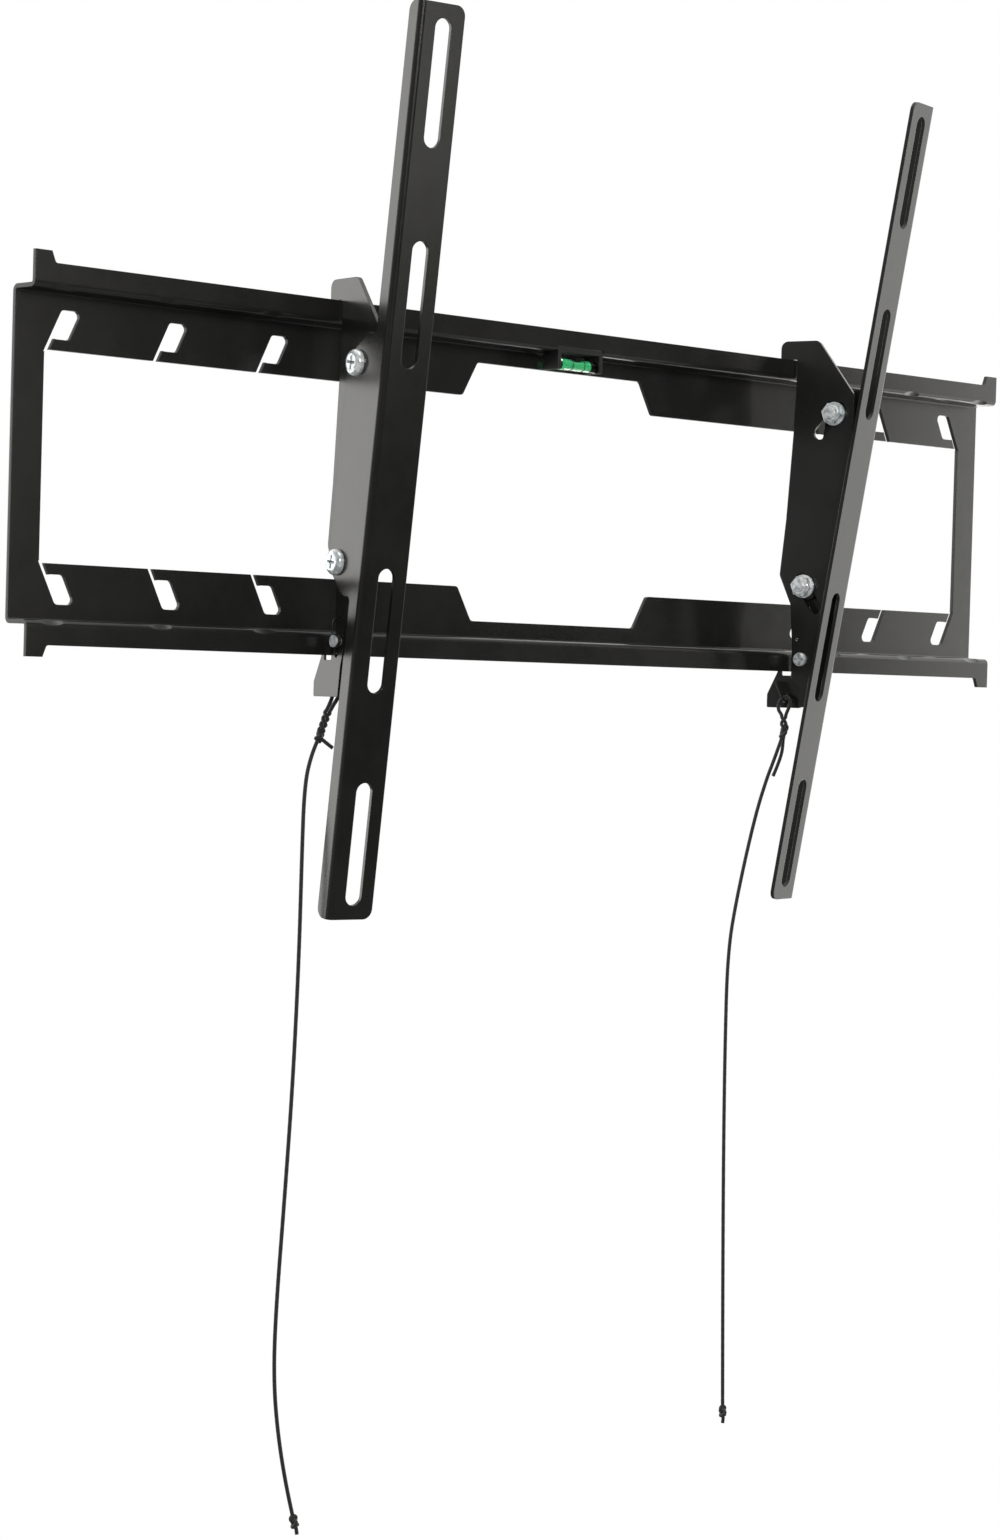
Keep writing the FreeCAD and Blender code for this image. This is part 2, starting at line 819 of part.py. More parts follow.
def cord_loop(bracket, route, tail):
    """The tied end: a loop through the hole in the latch's tab, its knot and the short tail."""
    toward = (route[1] - route[0]).normalize()
    knot_centre = route[0] - toward * knot_flat
    upper, lower, along, normal = tab_line()
    middle = cord_hole()
    front_high = middle + normal * loop_through
    front_low = middle + normal * loop_front_out + along * loop_front_drop
    rear_high = middle - normal * loop_through
    rear_low = rear_high + Vector(-loop_rear_back, -loop_rear_drop, 0)
    hole = bracket.point(cord_hole_across, middle.x, middle.y)
    lean = (knot_centre - hole).normalize()
    ahead = bracket.point(cord_hole_across, middle.x + 1, middle.y) - hole
    strand = (ahead - lean * ahead.dot(lean)).normalize() * strand_offset
    strands_end = knot_centre - lean * strand_offset
    side_view = (front_low, front_high, rear_high, rear_low)
    bends = [bracket.point(cord_hole_across, p.x, p.y) for p in side_view]
    join = hole + (knot_centre - hole) * loop_join_share
    points = [strands_end + strand, join + strand] + bends + [join - strand, strands_end - strand]
    loop = tube(points, bracket.name + " loop", cord_diameter)
    tail_start = knot_centre + (tail[0] - knot_centre).normalize() * strand_offset
    tail_end = tube([tail_start] + tail, bracket.name + " tail", cord_diameter)
    knot = flat_ball(knot_radius, knot_flat, knot_centre, toward)
    return knot.fuse(loop).fuse(tail_end)


def end_knot(route):
    """The stop knot at the free end of a cord."""
    toward = (route[-2] - route[-1]).normalize()
    return flat_ball(end_knot_radius, end_knot_flat, route[-1] - toward * end_knot_flat, toward)


# Routes of the hanging cords, from the knot under the latch down to the stop knot
left_route = [
    Vector(-165.3, -8.0, -125.6),
    Vector(-170.6, -9.0, -133.8),
    Vector(-174.6, -10.2, -149.0),
    Vector(-177.0, -12.5, -178.0),
    Vector(-175.8, -11.0, -228.0),
    Vector(-176.6, -10.0, -286.0),
    Vector(-178.4, -8.5, -340.0),
    Vector(-181.0, -7.0, -398.0),
    Vector(-181.2, -7.0, -430.0),
    Vector(-178.6, -8.0, -456.0),
    Vector(-174.5, -10.5, -482.0),
    Vector(-171.2, -12.0, -496.0),
]
left_tail = [Vector(-162.3, -10.4, -125.8), Vector(-160.1, -13.5, -128.5)]
right_route = [
    Vector(165.0, -16.0, -120.0),
    Vector(161.5, -14.5, -131.0),
    Vector(156.6, -13.0, -143.0),
    Vector(149.8, -11.0, -165.0),
    Vector(139.8, -9.0, -207.0),
    Vector(134.8, -8.0, -237.0),
    Vector(135.0, -8.0, -289.0),
    Vector(136.3, -8.0, -343.5),
    Vector(138.4, -8.0, -402.0),
    Vector(140.3, -8.2, -455.0),
    Vector(141.3, -8.4, -483.0),
]
right_tail = [Vector(168.2, -14.2, -122.1), Vector(167.7, -13.7, -130.8), Vector(162.4, -12.7, -141.2)]

left = Bracket("left", -1, left_place, left_splay, left_tilt)
right = Bracket("right", 1, right_place, right_splay, right_tilt)

nodes = {
    "wall_plate": wall_plate(),
    "level_holder": level_holder(),
    "level_vial": level_vial(),
    "level_liquid": level_liquid(),
}
for bracket, route, tail in ((left, left_route, left_tail), (right, right_route, right_tail)):
    side_name = bracket.name + "_"
    nodes[side_name + "arm"] = bracket.leaned(arm())
    nodes[side_name + "tilt_bolts"] = bracket.leaned(tilt_bolts())
    nodes[side_name + "friction_washers"] = bracket.leaned(friction_washers())
    nodes[side_name + "nut_washers"] = bracket.leaned(nut_washers())
    nodes[side_name + "tilt_nuts"] = bracket.leaned(tilt_nuts())
    nodes[side_name + "hook_plate"] = bracket.on_rail(hook_plate())
    nodes[side_name + "latch"] = bracket.on_rail(latch())
    nodes[side_name + "latch_pivot"] = bracket.on_rail(latch_pivot())
    nodes[side_name + "latch_spring"] = bracket.on_rail(latch_spring())
    nodes[side_name + "cord_loop"] = cord_loop(bracket, route, tail)
    nodes[side_name + "pull_cord"] = tube(route, bracket.name + " pull cord", cord_diameter)
    nodes[side_name + "cord_end_knot"] = end_knot(route)

os.makedirs("parts", exist_ok=True)
for node_name, shape in nodes.items():
    shape.exportStep("parts/" + node_name + ".step")
    volume = round(shape.Volume, 1)
    print(node_name, "solids", len(shape.Solids), "volume", volume, "valid", shape.isValid())
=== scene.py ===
import json
import math

import bmesh
import bpy
from mathutils import Matrix, Vector


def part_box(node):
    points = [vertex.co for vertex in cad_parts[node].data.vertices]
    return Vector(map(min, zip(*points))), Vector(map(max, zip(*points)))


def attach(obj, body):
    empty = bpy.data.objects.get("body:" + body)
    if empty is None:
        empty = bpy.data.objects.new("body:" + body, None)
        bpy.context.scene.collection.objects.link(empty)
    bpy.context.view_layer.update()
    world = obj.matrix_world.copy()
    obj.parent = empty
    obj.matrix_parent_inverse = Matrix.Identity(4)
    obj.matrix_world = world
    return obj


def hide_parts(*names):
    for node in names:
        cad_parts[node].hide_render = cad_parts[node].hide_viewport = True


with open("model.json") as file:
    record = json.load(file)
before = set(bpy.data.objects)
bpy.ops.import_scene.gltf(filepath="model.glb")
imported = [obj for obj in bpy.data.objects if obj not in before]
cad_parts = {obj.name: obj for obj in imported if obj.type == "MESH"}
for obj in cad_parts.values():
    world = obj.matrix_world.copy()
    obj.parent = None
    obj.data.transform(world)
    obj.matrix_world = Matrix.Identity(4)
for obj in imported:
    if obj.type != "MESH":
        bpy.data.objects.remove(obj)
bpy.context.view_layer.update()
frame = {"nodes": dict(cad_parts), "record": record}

# Camera, found from the straight edges in the photograph; metres in the part's frame
CAMERA_EYE = Vector((-1.2761, -1.2540, -0.0970))
CAMERA_RIGHT = Vector((0.7106, -0.7030, 0.0282))
CAMERA_UP = Vector((-0.0033, 0.0368, 0.9993))
CAMERA_SENSOR = 36.0
CAMERA_LENS = 125.59

# Studio: the lamps are a little warm, and the floor lies below the cords
LAMP_TINT = (1.0, 0.985, 0.94)
WHITE = (1, 1, 1, 1)
ROOM_GREY = (0.55, 0.55, 0.55, 1)
FLOOR_GREY = (0.22, 0.22, 0.22, 1)
FLOOR_ROUGHNESS = 0.9
FLOOR_HALF = 1.2
FLOOR_HEIGHT = -0.62

# Pull cords: the routes are those of the CAD tubes, in metres
CORD_RADIUS = 0.001
LEFT_ROUTE = [
    (-0.1653, -0.0080, -0.1256),
    (-0.1706, -0.0090, -0.1338),
    (-0.1746, -0.0102, -0.1490),
    (-0.1770, -0.0125, -0.1780),
    (-0.1758, -0.0110, -0.2280),
    (-0.1766, -0.0100, -0.2860),
    (-0.1784, -0.0085, -0.3400),
    (-0.1810, -0.0070, -0.3980),
    (-0.1812, -0.0070, -0.4300),
    (-0.1786, -0.0080, -0.4560),
    (-0.1745, -0.0105, -0.4820),
    (-0.1712, -0.0120, -0.4960),
]
LEFT_LOOP = [
    (-0.1614, -0.0206, -0.1011),
    (-0.1611, -0.0182, -0.0973),
    (-0.1605, -0.0140, -0.0993),
    (-0.1603, -0.0124, -0.1046),
]
LEFT_TAIL = [(-0.1623, -0.0104, -0.1258), (-0.1601, -0.0135, -0.1285)]
LEFT_TIE_HEIGHT = 0.0028
RIGHT_ROUTE = [
    (0.1650, -0.0160, -0.1200),
    (0.1615, -0.0145, -0.1310),
    (0.1566, -0.0130, -0.1430),
    (0.1498, -0.0110, -0.1650),
    (0.1398, -0.0090, -0.2070),
    (0.1348, -0.0080, -0.2370),
    (0.1350, -0.0080, -0.2890),
    (0.1363, -0.0080, -0.3435),
    (0.1384, -0.0080, -0.4020),
    (0.1403, -0.0082, -0.4550),
    (0.1413, -0.0084, -0.4830),
]
RIGHT_LOOP = [
    (0.1662, -0.0207, -0.1011),
    (0.1656, -0.0183, -0.0973),
    (0.1647, -0.0143, -0.0993),
    (0.1643, -0.0127, -0.1046),
]
RIGHT_TAIL = [(0.1682, -0.0142, -0.1221), (0.1677, -0.0137, -0.1308), (0.1624, -0.0127, -0.1412)]
RIGHT_TIE_HEIGHT = 0.0044

# Braid of the cords: a tube with a low relief of crossing strands
BRAID_SIDES = 24
BRAID_STRANDS = 4
BRAID_PITCH = 0.0026
BRAID_RELIEF = 0.07

# Tied loops: a knot above the hanging line, and two strands that wind round each other up to the join
TIE_DROP = 0.0027
TIE_WIDTH = 0.0022
STRAND_OFFSET = 0.0012
LOOP_JOIN_SHARE = 0.5
TWIST_PITCH = 0.007
TWIST_STEPS = 8
TAIL_RADIUS = 0.97 * CORD_RADIUS

# Stop knots: a knot below the hanging line, and a stub of cord that hangs out of it
STOP_DROP = 0.0032
STOP_WIDTH = 0.0026
STOP_HEIGHT = 0.0031
STUB_ABOVE = 0.001
STUB_BEND = 0.0034
STUB_END = 0.0062
STUB_ASIDE = 0.0004
STUB_RADIUS = 0.96 * CORD_RADIUS

# Form of a tied knot
KNOT_STEPS = 14
KNOT_DEPTH_SHARE = 0.55

# Lines round the level's vial, each side of the bubble
MARK_OFFSET = 0.0042
MARK_RADIUS = 0.00022
MARK_STEPS = 40
MARK_SIDES = 8

scene = bpy.context.scene
scene.view_settings.view_transform = "Standard"


def link(obj):
    """Puts a new object in the scene."""
    scene.collection.objects.link(obj)
    return obj


def add_camera():
    """The camera at the photograph's place and angle."""
    data = bpy.data.cameras.new("photo_camera")
    data.sensor_fit = "HORIZONTAL"
    data.sensor_width = CAMERA_SENSOR
    data.lens = CAMERA_LENS
    camera = link(bpy.data.objects.new("photo_camera", data))
    right = CAMERA_RIGHT.normalized()
    back = right.cross(CAMERA_UP).normalized()
    up = back.cross(right)
    turn = Matrix((right, up, back)).transposed()
    camera.matrix_world = Matrix.Translation(CAMERA_EYE) @ turn.to_4x4()
    scene.camera = camera


# Materials


class Shader:
    """A new material with one Principled shader and short ways to add nodes to it."""

    def __init__(self, name):
        self.material = bpy.data.materials.new(name)
        self.material.use_nodes = True
        self.nodes = self.material.node_tree.nodes
        self.links = self.material.node_tree.links
        self.surface = self.nodes["Principled BSDF"]
        self.place = self.nodes.new("ShaderNodeTexCoord").outputs["Object"]

    def set(self, **values):
        """Sets plain values on the shader's own sockets."""
        for name, value in values.items():
            self.surface.inputs[name.replace("_", " ")].default_value = value

    def noise(self, scale, detail=3.0):
        """Noise in the piece's own frame; scale is in features per metre."""
        node = self.nodes.new("ShaderNodeTexNoise")
        node.inputs["Scale"].default_value = scale
        node.inputs["Detail"].default_value = detail
        self.links.new(self.place, node.inputs["Vector"])
        return node.outputs["Fac"]

    def colours(self, fac, low, high, start=0.3, end=0.7):
        """A colour that goes from low to high while the factor goes from start to end."""
        ramp = self.nodes.new("ShaderNodeValToRGB")
        ramp.color_ramp.elements[0].position = start
        ramp.color_ramp.elements[0].color = (*low, 1)
        ramp.color_ramp.elements[1].position = end
        ramp.color_ramp.elements[1].color = (*high, 1)
        self.links.new(fac, ramp.inputs["Fac"])
        return ramp.outputs["Color"]

    def between(self, fac, low, high):
        """A number that goes from low to high with a factor."""
        node = self.nodes.new("ShaderNodeMapRange")
        node.inputs["To Min"].default_value = low
        node.inputs["To Max"].default_value = high
        self.links.new(fac, node.inputs["Value"])
        return node.outputs["Result"]

    def bump(self, height, strength, distance, edge_radius=0.0):
        """Fine relief, over edges rounded by edge_radius."""
        node = self.nodes.new("ShaderNodeBump")
        node.inputs["Strength"].default_value = strength
        node.inputs["Distance"].default_value = distance
        self.links.new(height, node.inputs["Height"])
        if edge_radius:
            edge = self.nodes.new("ShaderNodeBevel")
            edge.samples = 4
            edge.inputs["Radius"].default_value = edge_radius
            self.links.new(edge.outputs["Normal"], node.inputs["Normal"])
        self.links.new(node.outputs["Normal"], self.surface.inputs["Normal"])

    def feed(self, output, socket):
        """Joins an output to a socket of the shader."""
        self.links.new(output, self.surface.inputs[socket])


def powder_coat():
    """Black satin powder coat: a fine orange peel and a little mottling."""
    shader = Shader("black_powder_coat")
    tint = shader.colours(shader.noise(35), low=(0.009, 0.009, 0.0087), high=(0.014, 0.014, 0.0135))
    shader.feed(tint, "Base Color")
    shader.feed(shader.between(shader.noise(160), low=0.20, high=0.27), "Roughness")
    shader.bump(shader.noise(1400, detail=2.0), strength=0.04, distance=0.0004, edge_radius=0.0006)
    return shader.material


def zinc_plate():
    """Bright zinc: a blue grey to white tone that is partly zinc colour and partly painted light and dark
    reflection patches.
    """
    shader = Shader("zinc_plated_steel_painted_sheen")
    shader.set(Metallic=0.4)
    zinc_tone_and_painted_sheen = shader.noise(420)
    # Painted reflection: the wide range from blue grey to white paints light and dark reflection patches into
    # the zinc's own colour.
    tint = shader.colours(zinc_tone_and_painted_sheen, low=(0.45, 0.51, 0.54), high=(0.93, 0.95, 0.96), start=0.38, end=0.58)
    shader.feed(tint, "Base Color")
    shader.feed(shader.between(shader.noise(300), low=0.20, high=0.27), "Roughness")
    shader.bump(shader.noise(1200, detail=2.0), strength=0.02, distance=0.0002, edge_radius=0.0003)
    return shader.material


def spring_wire():
    """Dark oiled spring wire."""
    shader = Shader("dark_spring_wire")
    shader.set(Metallic=1.0)
    tint = shader.colours(shader.noise(700), low=(0.05, 0.05, 0.055), high=(0.09, 0.09, 0.095))
    shader.feed(tint, "Base Color")
    shader.feed(shader.between(shader.noise(1500), low=0.3, high=0.45), "Roughness")
    return shader.material


def moulded_plastic(name, low, high, roughness):
    """Moulded plastic with a fine grain."""
    shader = Shader(name)
    shader.feed(shader.colours(shader.noise(90), low, high), "Base Color")
    shader.feed(shader.between(shader.noise(300), low=roughness - 0.05, high=roughness + 0.08), "Roughness")
    shader.bump(shader.noise(2200, detail=2.0), strength=0.12, distance=0.0002)
    return shader.material


def clear_acrylic():
    """The clear tube of the level."""
    shader = Shader("clear_acrylic")
    shader.set(Transmission_Weight=1.0, IOR=1.49)
    tint = shader.colours(shader.noise(200), low=(0.93, 0.97, 0.94), high=(0.99, 1.0, 0.99))
    shader.feed(tint, "Base Color")
    shader.feed(shader.between(shader.noise(500), low=0.02, high=0.06), "Roughness")
    return shader.material


def level_green_painted_glow():
    """The dyed green liquid of the level, with a painted glow that stands in for light coming through the
    clear vial.
    """
    shader = Shader("green_level_liquid_painted_glow")
    # Emission is painted light: the liquid glows in its own green in place of light passing through the vial.
    shader.set(Transmission_Weight=0.3, IOR=1.36, Emission_Strength=0.45)
    tint = shader.colours(shader.noise(150), low=(0.04, 0.43, 0.17), high=(0.05, 0.50, 0.21))
    shader.feed(tint, "Base Color")
    shader.feed(tint, "Emission Color")
    shader.feed(shader.between(shader.noise(400), low=0.03, high=0.09), "Roughness")
    return shader.material


def braided_nylon():
    """Black braided cord with a soft fuzz."""
    shader = Shader("black_braided_cord")
    shader.set(Sheen_Weight=0.25, Sheen_Roughness=0.5)
    tint = shader.colours(shader.noise(2400), low=(0.006, 0.006, 0.006), high=(0.020, 0.020, 0.020))
    shader.feed(tint, "Base Color")
    shader.feed(shader.between(shader.noise(1200), low=0.6, high=0.8), "Roughness")
    shader.bump(shader.noise(5200, detail=2.0), strength=0.35, distance=0.0002)
    return shader.material


def dress_cad_nodes(finishes):
    """Gives every CAD node the material of its record slot."""
    slots = {part["node"]: part["material_slot"] for part in frame["record"]["subparts"]}
    for name, node in frame["nodes"].items():
        node.data.materials.clear()
        node.data.materials.append(finishes[slots[name]])


# Mesh helpers


def join_rings(form, rings, closed):
    """Adds the faces between rings of vertices, and from the last ring to the first if closed."""
    count = len(rings)
    spans = count if closed else count - 1
    for i in range(spans):
        ring = rings[i]
        after = rings[(i + 1) % count]
        for k in range(len(ring)):
            nxt = (k + 1) % len(ring)
            form.faces.new((ring[k], ring[nxt], after[nxt], after[k]))


def finish_form(form, name, material, body):
    """Turns a mesh in the making into a smooth piece that rides on a body."""
    mesh = bpy.data.meshes.new(name)
    form.normal_update()
    form.to_mesh(mesh)
    form.free()
    for face in mesh.polygons:
        face.use_smooth = True
    mesh.materials.append(material)
    piece = link(bpy.data.objects.new(name, mesh))
    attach(piece, body)
    return piece


# Cord pieces


def smooth_line(name, route, closed=False, resolution=48):
    """Points along a smooth NURBS line with the route as its control points."""
    curve = bpy.data.curves.new(name, "CURVE")
    curve.dimensions = "3D"
    curve.resolution_u = resolution
    spline = curve.splines.new("NURBS")
    spline.points.add(len(route) - 1)
    for point, place in zip(spline.points, route):
        point.co = (*place, 1.0)
    spline.order_u = 3
    if closed:
        spline.use_cyclic_u = True
    else:
        spline.use_endpoint_u = True
    holder = link(bpy.data.objects.new(name, curve))
    mesh = bpy.data.meshes.new_from_object(holder)
    points = [vertex.co.copy() for vertex in mesh.vertices]
    bpy.data.objects.remove(holder)
    bpy.data.curves.remove(curve)
    bpy.data.meshes.remove(mesh)
    return points


def add_braid(form, points, radius, closed=False):
    """Adds one round braided tube along points to a mesh in the making."""
    count = len(points)
    normal = None
    travelled = 0.0
    rings = []
    for i, point in enumerate(points):
        if closed:
            ahead = (points[(i + 1) % count] - points[i - 1]).normalized()
        else:
            ahead = (points[min(i + 1, count - 1)] - points[max(i - 1, 0)]).normalized()
        if normal is None:
            normal = ahead.orthogonal().normalized()
        normal = (normal - ahead * normal.dot(ahead)).normalized()
        sideways = ahead.cross(normal)
        if i:
            travelled += (point - points[i - 1]).length
        phase = 2 * math.pi * travelled / BRAID_PITCH
        ring = []
        for k in range(BRAID_SIDES):
            turn = 2 * math.pi * k / BRAID_SIDES
            weave = math.cos(BRAID_STRANDS * turn + phase) * math.cos(BRAID_STRANDS * turn - phase)
            reach = radius * (1 - BRAID_RELIEF / 2 + BRAID_RELIEF / 2 * weave)
            out = normal * math.cos(turn) + sideways * math.sin(turn)
            ring.append(form.verts.new(point + out * reach))
        rings.append(ring)
    join_rings(form, rings, closed)
    if not closed:
        form.faces.new(list(reversed(rings[0])))
        form.faces.new(rings[-1])


def knot_line(name, centre, axis, width, height):
    """A tied overhand knot: one line that crosses over and under itself three times."""
    upright = axis.normalized()
    across = upright.orthogonal().normalized()
    third = upright.cross(across)
    depth = width * KNOT_DEPTH_SHARE
    route = []
    for k in range(KNOT_STEPS):
        turn = 2 * math.pi * k / KNOT_STEPS
        a = (math.sin(turn) + 2 * math.sin(2 * turn)) / 3
        b = (math.cos(turn) - 2 * math.cos(2 * turn)) / 3
        c = -math.sin(3 * turn)
        route.append(centre + across * (a * width) + upright * (b * height) + third * (c * depth))
    return smooth_line(name, route, closed=True, resolution=12)


def add_stop_knot(side, points, material, body):
    """The knot at the free end of a cord and the stub that hangs out of it."""
    down = (points[-1] - points[-2]).normalized()
    centre = points[-1] + down * STOP_DROP
    knot = knot_line(side + "_stop", centre, down, STOP_WIDTH, STOP_HEIGHT)
    stub_route = [
        points[-1] - down * STUB_ABOVE,
        centre,
        centre + down * STUB_BEND + CAMERA_RIGHT * STUB_ASIDE,
        centre + down * STUB_END,
    ]
    stub = smooth_line(side + "_stub", stub_route, resolution=10)
    form = bmesh.new()
    add_braid(form, knot, CORD_RADIUS, closed=True)
    add_braid(form, stub, STUB_RADIUS)
    stop_knot = finish_form(form, side + "_stop_knot", material, body)
    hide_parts(side + "_cord_end_knot")
    return stop_knot


def twisted_strands(foot, head, ahead, sideways):
    """Centres and offsets of two strands that wind round each other from foot to head."""
    turns = max(1, round((head - foot).length / TWIST_PITCH))
    steps = turns * TWIST_STEPS
    twist = []
    for i in range(steps + 1):
        angle = 2 * math.pi * i / TWIST_STEPS
        twist.append((foot.lerp(head, i / steps), ahead * math.cos(angle) + sideways * math.sin(angle)))
    return twist


def loop_route(tie_centre, bends):
    """The way of a tied loop: up from the knot, through the latch's tab and back down to the knot."""
    front_high, rear_high = bends[1:3]
    top = (front_high + rear_high) / 2
    lean = (tie_centre - top).normalized()
    ahead = front_high - rear_high
    ahead.z = 0
    strand = (ahead - lean * ahead.dot(lean)).normalized() * STRAND_OFFSET
    foot = tie_centre - lean * STRAND_OFFSET
    join = tie_centre.lerp(top, LOOP_JOIN_SHARE)
    twist = twisted_strands(foot, join, strand, lean.cross(strand))
    front = [centre + offset for centre, offset in twist]
    rear = [centre - offset for centre, offset in reversed(twist)]
    return front + bends + rear


def add_tied_loop(side, points, loop, tail, tie_height, material, body):
    """The loop through the latch's tab, the knot that ties it and the tail of that knot."""
    start = (points[1] - points[0]).normalized()
    tie_centre = points[0] - start * TIE_DROP
    bends = [Vector(place) for place in loop]
    tail_route = [tie_centre] + [Vector(place) for place in tail]
    loop_line = smooth_line(side + "_loop_line", loop_route(tie_centre, bends), resolution=12)
    tie_line = knot_line(side + "_tie", tie_centre, start, TIE_WIDTH, tie_height)
    tail_line = smooth_line(side + "_tail_line", tail_route, resolution=24)
    form = bmesh.new()
    add_braid(form, loop_line, CORD_RADIUS)
    add_braid(form, tie_line, CORD_RADIUS, closed=True)
    add_braid(form, tail_line, TAIL_RADIUS)
    tied_loop = finish_form(form, side + "_tied_loop", material, body)
    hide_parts(side + "_cord_loop")
    return tied_loop


def pull_cord(side, route, loop, tail, tie_height, material):
    """One cord: the hanging line, its stop knot, and the loop tied through the latch's tab."""
    body = side + "_cord"
    points = [Vector(place) for place in route]
    line = smooth_line(side + "_line", points)
    form = bmesh.new()
    add_braid(form, line, CORD_RADIUS)
    cord = finish_form(form, side + "_hanging_cord", material, body)
    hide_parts(side + "_pull_cord")
    stop_knot = add_stop_knot(side, points, material, body)
    tied_loop = add_tied_loop(side, points, loop, tail, tie_height, material, body)


# Level


def add_level_marks(material):
    """The two dark lines round the vial, one each side of the bubble."""
    low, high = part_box("level_vial")
    centre = (Vector(low) + Vector(high)) / 2
    vial_radius = (high[2] - low[2]) / 2
    along = Vector((1, 0, 0))
    form = bmesh.new()
    for offset in (-MARK_OFFSET, MARK_OFFSET):
        rings = []
        for i in range(MARK_STEPS):
            turn = 2 * math.pi * i / MARK_STEPS
            out = Vector((0, math.cos(turn), math.sin(turn)))
            middle = centre + along * offset + out * vial_radius
            ring = []
            for k in range(MARK_SIDES):
                roll = 2 * math.pi * k / MARK_SIDES
                reach = out * math.cos(roll) - along * math.sin(roll)
                ring.append(form.verts.new(middle + reach * MARK_RADIUS))
            rings.append(ring)
        join_rings(form, rings, closed=True)
    marks = finish_form(form, "level_marks", material, "wall_rail")


# Stage


def seen_white(nodes, links, path):
    """1 for rays that see plain white: those from the camera and those through clear pieces."""
    either = nodes.new("ShaderNodeMath")
    either.operation = "MAXIMUM"
    links.new(path.outputs["Is Camera Ray"], either.inputs[0])
    links.new(path.outputs["Is Transmission Ray"], either.inputs[1])
    return either.outputs[0]


def ramp_along(nodes, links, axis, dark_until, bright_from, dark):
    """A grey that goes from dark to white along one axis of the view direction."""
    share = nodes.new("ShaderNodeMapRange")
    share.inputs["From Min"].default_value = -1
    share.inputs["From Max"].default_value = 1
    links.new(axis, share.inputs["Value"])
    ramp = nodes.new("ShaderNodeValToRGB")
    ramp.color_ramp.elements[0].position = dark_until
    ramp.color_ramp.elements[0].color = (dark, dark, dark, 1)
    ramp.color_ramp.elements[1].position = bright_from
    ramp.color_ramp.elements[1].color = WHITE
    links.new(share.outputs["Result"], ramp.inputs["Fac"])
    return ramp.outputs["Color"]


def add_world():
    """White to the camera, grey to soft light; in reflections dim in front and far left, bright elsewhere."""
    world = bpy.data.worlds.new("studio")
    scene.world = world
    world.use_nodes = True
    nodes = world.node_tree.nodes
    links = world.node_tree.links
    background = nodes["Background"]
    path = nodes.new("ShaderNodeLightPath")
    direction = nodes.new("ShaderNodeTexCoord")
    split = nodes.new("ShaderNodeSeparateXYZ")
    links.new(direction.outputs["Generated"], split.inputs["Vector"])
    behind = ramp_along(nodes, links, split.outputs["Y"], dark_until=0.22, bright_from=0.46, dark=0.03)
    aside = ramp_along(nodes, links, split.outputs["X"], dark_until=0.04, bright_from=0.20, dark=0.3)
    room = nodes.new("ShaderNodeMix")
    room.data_type = "RGBA"
    room.blend_type = "MULTIPLY"
    room.inputs["Factor"].default_value = 1.0
    links.new(behind, room.inputs["A"])
    links.new(aside, room.inputs["B"])
    soft = nodes.new("ShaderNodeMix")
    soft.data_type = "RGBA"
    soft.inputs["A"].default_value = ROOM_GREY
    links.new(path.outputs["Is Glossy Ray"], soft.inputs["Factor"])
    links.new(room.outputs["Result"], soft.inputs["B"])
    pick = nodes.new("ShaderNodeMix")
    pick.data_type = "RGBA"
    links.new(seen_white(nodes, links, path), pick.inputs["Factor"])
    links.new(soft.outputs["Result"], pick.inputs["A"])
    pick.inputs["B"].default_value = WHITE
    links.new(pick.outputs["Result"], background.inputs["Color"])
    background.inputs["Strength"].default_value = 1.0


def add_floor():
    """A plain pale floor below the cords, white to the camera."""
    mesh = bpy.data.meshes.new("studio_floor")
    around = [(-1, -1), (1, -1), (1, 1), (-1, 1)]
    corners = [(x * FLOOR_HALF, y * FLOOR_HALF, FLOOR_HEIGHT) for x, y in around]
    mesh.from_pydata(corners, [], [(0, 1, 2, 3)])
    floor = link(bpy.data.objects.new("studio_floor", mesh))
    material = bpy.data.materials.new("pale_floor")
    material.use_nodes = True
    nodes = material.node_tree.nodes
    links = material.node_tree.links
    matt = nodes["Principled BSDF"]
    matt.inputs["Base Color"].default_value = FLOOR_GREY
    matt.inputs["Roughness"].default_value = FLOOR_ROUGHNESS
    glow = nodes.new("ShaderNodeEmission")
    path = nodes.new("ShaderNodeLightPath")
    mix = nodes.new("ShaderNodeMixShader")
    links.new(seen_white(nodes, links, path), mix.inputs["Fac"])
    links.new(matt.outputs["BSDF"], mix.inputs[1])
    links.new(glow.outputs["Emission"], mix.inputs[2])
    links.new(mix.outputs["Shader"], nodes["Material Output"].inputs["Surface"])
    mesh.materials.append(material)


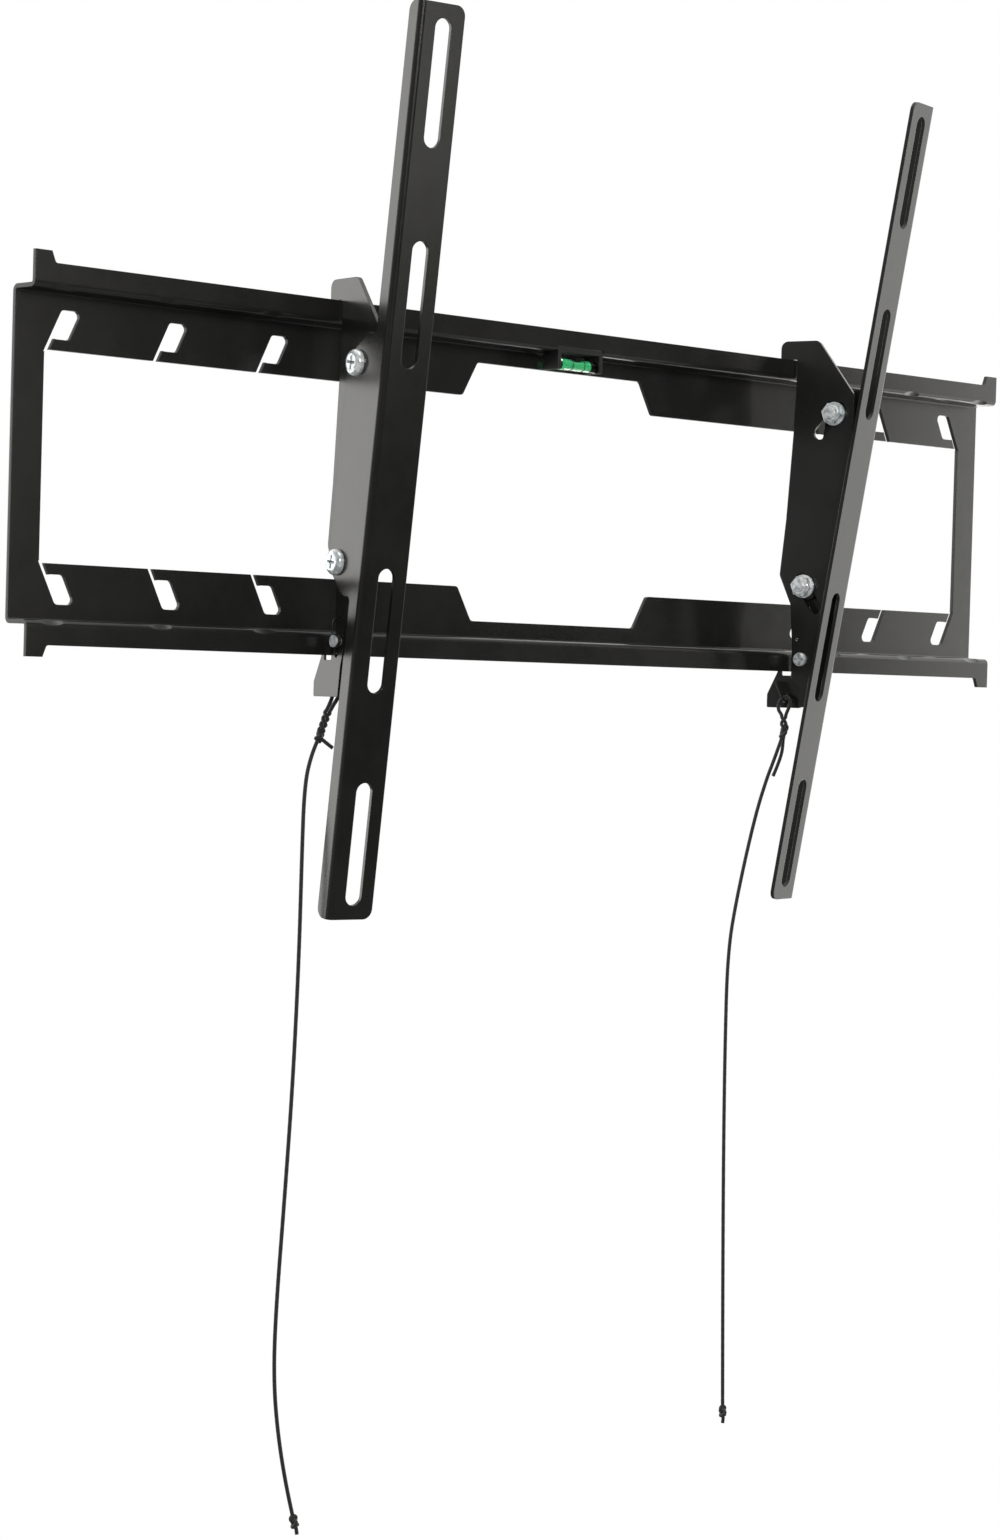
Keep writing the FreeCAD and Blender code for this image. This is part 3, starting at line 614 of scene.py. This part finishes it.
def add_softbox(name, place, target, width, height, power):
    """A soft rectangular lamp; sizes in metres, power in watts."""
    data = bpy.data.lights.new(name, "AREA")
    data.shape = "RECTANGLE"
    data.size = width
    data.size_y = height
    data.energy = power
    data.color = LAMP_TINT
    lamp = link(bpy.data.objects.new(name, data))
    lamp.location = place
    aim = Vector(target) - Vector(place)
    lamp.rotation_euler = aim.to_track_quat("-Z", "Y").to_euler()
    lamp.visible_camera = False


add_camera()
cord_finish = braided_nylon()
pull_cord("left", LEFT_ROUTE, LEFT_LOOP, LEFT_TAIL, LEFT_TIE_HEIGHT, cord_finish)
pull_cord("right", RIGHT_ROUTE, RIGHT_LOOP, RIGHT_TAIL, RIGHT_TIE_HEIGHT, cord_finish)

plastic = moulded_plastic(
    "black_moulded_plastic", low=(0.004, 0.004, 0.004), high=(0.008, 0.008, 0.008), roughness=0.6)
nylon = moulded_plastic(
    "black_nylon", low=(0.020, 0.020, 0.020), high=(0.035, 0.035, 0.035), roughness=0.55)
dress_cad_nodes({
    "black_coat": powder_coat(),
    "black_plastic": plastic,
    "clear_tube": clear_acrylic(),
    "green_liquid": level_green_painted_glow(),
    "nylon": nylon,
    "zinc_steel": zinc_plate(),
    "spring_steel": spring_wire(),
    "cord": cord_finish,
})
add_level_marks(plastic)

add_world()
add_floor()
add_softbox("right_softbox", place=(1.35, 0.15, 0.1), target=(0, 0, 0), width=1.5, height=1.8, power=8)
add_softbox("right_strip", place=(1.35, -0.68, 0), target=(0.3, 0, 0), width=0.3, height=1.4, power=3.4)
add_softbox("left_softbox", place=(-0.85, 1.55, 0), target=(-0.15, 0, 0), width=1.0, height=1.6, power=13)
add_softbox("top_softbox", place=(0.1, -0.5, 1.7), target=(0, 0, 0), width=1.6, height=1.2, power=14)
add_softbox("front_card", place=(0.35, -1.5, 0.28), target=(-0.17, 0, 0.1), width=0.5, height=0.7, power=1.9)
add_softbox("bolt_card", place=(-1.05, -1.35, 0.45), target=(0.17, 0, 0), width=0.4, height=0.4, power=10)
add_softbox("low_card", place=(0.95, 0.28, -0.58), target=(0, 0, 0.05), width=0.7, height=0.4, power=3)
